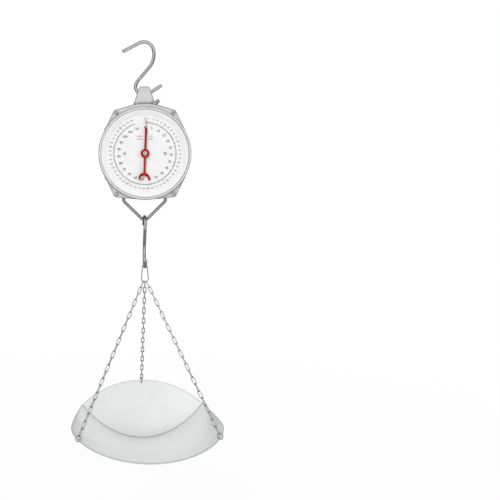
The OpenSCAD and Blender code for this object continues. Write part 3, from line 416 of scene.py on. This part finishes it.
def dress_nodes(finishes):
    """Gives each node its slot's material; bezel ring and shackle get their own, the shackle's being a
    darker chrome with painted shade.

    The lens is left out of shadow and diffuse rays, so that the dial under it stays lit.
    """
    for part in frame["record"]["subparts"]:
        mesh = nodes[part["node"]].data
        mesh.materials.clear()
        mesh.materials.append(finishes[part["material_slot"]])
    # Bezel: the small corner reach keeps its painted shade to a thin line in the corners.
    nodes["bezel_ring"].data.materials[0] = paint(
        "bezel_white", 0.82, 0.85, (0.7,) * 3, 0.36, 0.1, 0.5 * MM, 2.0, 0.5 * MM)
    # Painted shade: the shackle takes a darker copy of the chrome for the darker look it has in the
    # light.
    nodes["shackle"].data.materials[0] = plated_wire("shackle_chrome_shaded", (0.42, 0.43, 0.44), 0.09)
    nodes["lens"].visible_shadow = False
    nodes["lens"].visible_diffuse = False


# Dial print

def dial_point(radius, degrees):
    """Point on the dial face at an angle clockwise from straight up."""
    turn = math.radians(degrees)
    x = DIAL_CENTRE.x + radius * math.sin(turn)
    z = DIAL_CENTRE.z + radius * math.cos(turn)
    return Vector((x, 0, z))


class Print:
    """Thin flat marks on the dial, gathered into one mesh."""

    def __init__(self, name, material, slot):
        self.name = name
        self.material = material
        self.slot = slot
        self.mesh = bmesh.new()

    def add_prism(self, corners):
        front_y = DIAL_FACE_Y - PRINT_LIFT - PRINT_DEPTH
        back_y = DIAL_FACE_Y - PRINT_LIFT
        front = [self.mesh.verts.new((p.x, front_y, p.z)) for p in corners]
        back = [self.mesh.verts.new((p.x, back_y, p.z)) for p in corners]
        self.mesh.faces.new(front)
        self.mesh.faces.new(back[::-1])
        for k in range(len(corners)):
            n = (k + 1) % len(corners)
            self.mesh.faces.new((front[n], front[k], back[k], back[n]))

    def stroke(self, degrees, inner, outer, width):
        turn = math.radians(degrees)
        side = Vector((math.cos(turn), 0, -math.sin(turn))) * width / 2
        low = dial_point(inner, degrees)
        high = dial_point(outer, degrees)
        self.add_prism([low - side, low + side, high + side, high - side])

    def arc(self, radius, width, end):
        """Arc from straight up, clockwise to an end angle."""
        inner = radius - width / 2
        outer = radius + width / 2
        count = round(end / ARC_STEP)
        for k in range(count):
            a = end * k / count
            b = end * (k + 1) / count
            self.add_prism([
                dial_point(inner, a), dial_point(inner, b), dial_point(outer, b), dial_point(outer, a)])

    def words(self, text, size, place):
        """Upright text centred on a place of the dial."""
        data = bpy.data.curves.new("words", "FONT")
        data.body = text
        data.size = size
        data.align_x = "CENTER"
        data.align_y = "CENTER"
        data.extrude = PRINT_DEPTH / 2
        data.resolution_u = FONT_STEPS
        data.offset = FONT_WEIGHT * size
        holder = bpy.data.objects.new("words", data)
        flat = bpy.data.meshes.new_from_object(holder)
        middle = Vector((place.x, DIAL_FACE_Y - PRINT_LIFT - PRINT_DEPTH / 2, place.z))
        flat.transform(Matrix.Translation(middle) @ Matrix.Rotation(math.radians(90), 4, "X"))
        self.mesh.from_mesh(flat)
        bpy.data.objects.remove(holder)
        bpy.data.curves.remove(data)
        bpy.data.meshes.remove(flat)

    def finish(self):
        bmesh.ops.recalc_face_normals(self.mesh, faces=self.mesh.faces)
        mesh = bpy.data.meshes.new(self.name)
        self.mesh.to_mesh(mesh)
        self.mesh.free()
        mesh.materials.append(self.material)
        piece = bpy.data.objects.new(self.name, mesh)
        bpy.context.scene.collection.objects.link(piece)
        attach(piece, "head")


def print_dial():
    black = Print("dial_print_black", ink("ink_black", (0.03, 0.03, 0.032)), "plug_dark")
    grey = Print("dial_print_grey", ink("ink_grey", (0.10, 0.10, 0.105)), "plug_dark")
    red = Print("dial_print_red", ink("ink_red", (0.38, 0.01, 0.01)), "pointer_red")
    grey.arc(CIRCLE_R, CIRCLE_W, KG_FULL * DEGREES_PER_KG)
    for kg in range(0, KG_FULL + 1):
        angle = kg * DEGREES_PER_KG
        if kg % 5 == 0:
            length, width = KG_LONG_MARK
            black.stroke(angle, CIRCLE_R - length, CIRCLE_R, width)
            black.words(str(kg), KG_NUMBER_SIZE, dial_point(KG_NUMBER_R, angle))
        else:
            length, width = KG_SHORT_MARK
            grey.stroke(angle, CIRCLE_R - length, CIRCLE_R, width)
    for pounds in range(0, LB_FULL + 1, 5):
        angle = pounds * KG_PER_LB * DEGREES_PER_KG
        major = pounds % 25 == 0
        tint = red if major else grey
        length, width = LB_LONG_MARK if major else LB_MIDDLE_MARK
        tint.stroke(angle, CIRCLE_R, CIRCLE_R + length, width)
        size = LB_NUMBER_SIZE * (LB_MAJOR_GROWTH if major else 1.0)
        tint.words(str(pounds), size, dial_point(LB_NUMBER_R, angle))
        if pounds < LB_FULL:
            length, width = LB_SHORT_MARK
            for part in range(1, 5):
                minor = angle + part * KG_PER_LB * DEGREES_PER_KG
                grey.stroke(minor, CIRCLE_R, CIRCLE_R + length, width)
    for x, upper, lower in ((-CAPACITY_X, "240 lb", "110 kg"), (CAPACITY_X, "x 1 lb", "x 500 g")):
        place = DIAL_CENTRE + Vector((x, 0, 0))
        red.words(upper, CAPACITY_SIZE, place + Vector((0, 0, CAPACITY_UPPER_Z)))
        black.words(lower, CAPACITY_SIZE, place + Vector((0, 0, CAPACITY_LOWER_Z)))
    for mark in (black, grey, red):
        mark.finish()


# Studio

def make_world():
    """White behind the object, a plain level on it, and soft dark bands that only reflections see."""
    world = bpy.data.worlds.new("studio")
    bpy.context.scene.world = world
    world.use_nodes = True
    tree = world.node_tree
    back = tree.nodes["Background"]
    direction = add_node(tree, "ShaderNodeSeparateXYZ")
    link(tree, add_node(tree, "ShaderNodeTexCoord").outputs["Generated"], direction.inputs[0])
    x, y, z = direction.outputs
    bearing = math_node(tree, "ARCTAN2", x, math_node(tree, "MULTIPLY", y, -1))
    turn = math_node(tree, "MULTIPLY_ADD", bearing, 1 / (2 * math.pi), 0.5)
    bands = ramp(tree, turn, [
        (0.00, 0.55), (0.05, 0.10), (0.22, 0.03), (0.30, 0.05), (0.36, 0.80), (0.44, 0.95), (0.52, 0.90),
        (0.55, 0.25), (0.57, 0.25), (0.60, 0.80), (0.65, 0.10), (0.80, 0.02), (0.95, 0.10), (1.00, 0.55)])
    climb = math_node(tree, "MULTIPLY_ADD", z, 0.5, 0.5)
    height = ramp(tree, climb, [(0.30, 0.25), (0.42, 1.0), (0.58, 0.9), (0.70, 0.1)])
    show = add_node(tree, "ShaderNodeMix", data_type="RGBA")
    link(tree, height, show.inputs["Factor"])
    show.inputs["A"].default_value = (GLOSSY_LEVEL,) * 3 + (1,)
    link(tree, bands, show.inputs["B"])
    path = add_node(tree, "ShaderNodeLightPath")
    seen = any_of(tree, path.outputs["Is Camera Ray"], path.outputs["Is Transmission Ray"])
    level = add_node(tree, "ShaderNodeMix", data_type="RGBA")
    link(tree, path.outputs["Is Glossy Ray"], level.inputs["Factor"])
    level.inputs["A"].default_value = (PLAIN_LEVEL,) * 3 + (1,)
    link(tree, show.outputs["Result"], level.inputs["B"])
    final = add_node(tree, "ShaderNodeMix", data_type="RGBA")
    link(tree, seen, final.inputs["Factor"])
    link(tree, level.outputs["Result"], final.inputs["A"])
    final.inputs["B"].default_value = WHITE
    link(tree, final.outputs["Result"], back.inputs["Color"])
    back.inputs["Strength"].default_value = 1.0


def make_floor():
    """Pale disc under the scale that keeps its shadow and fades to white before its rim."""
    mesh = bmesh.new()
    bmesh.ops.create_circle(mesh, cap_ends=True, radius=FLOOR_R, segments=FLOOR_SIDES)
    data = bpy.data.meshes.new("floor")
    mesh.to_mesh(data)
    mesh.free()
    floor = bpy.data.objects.new("floor", data)
    floor.location = (0, 0, FLOOR_Z)
    bpy.context.scene.collection.objects.link(floor)
    material, tree, shader = new_material("floor", 0.0, 0.7)
    shader.inputs["Base Color"].default_value = (FLOOR_TONE,) * 3 + (1,)
    white = add_node(tree, "ShaderNodeEmission")
    path = add_node(tree, "ShaderNodeLightPath")
    seen = any_of(tree, path.outputs["Is Camera Ray"], path.outputs["Is Transmission Ray"])
    place = add_node(tree, "ShaderNodeTexCoord").outputs["Object"]
    reach = add_node(tree, "ShaderNodeVectorMath", operation="LENGTH")
    link(tree, place, reach.inputs[0])
    outwards = math_node(tree, "DIVIDE", reach.outputs["Value"], FADE_R)
    fade = remap(tree, outwards, WHITE_AT_MIDDLE, WHITE_AT_FADE_R)
    mix = add_node(tree, "ShaderNodeMixShader")
    link(tree, math_node(tree, "MULTIPLY", seen, fade), mix.inputs[0])
    link(tree, shader.outputs[0], mix.inputs[1])
    link(tree, white.outputs[0], mix.inputs[2])
    link(tree, mix.outputs[0], tree.nodes["Material Output"].inputs["Surface"])
    data.materials.append(material)


def add_softbox(name, place, size, power):
    data = bpy.data.lights.new(name, "AREA")
    data.shape = "RECTANGLE"
    data.size = size[0]
    data.size_y = size[1]
    data.energy = power
    lamp = bpy.data.objects.new(name, data)
    lamp.location = place
    lamp.rotation_euler = (Vector(LAMP_TARGET) - Vector(place)).to_track_quat("-Z", "Y").to_euler()
    lamp.visible_glossy = False
    bpy.context.scene.collection.objects.link(lamp)


bpy.context.scene.view_settings.view_transform = "Standard"
make_camera()
make_world()
make_floor()
for lamp_values in LAMPS:
    add_softbox(*lamp_values)
dress_nodes(make_finishes())
print_dial()
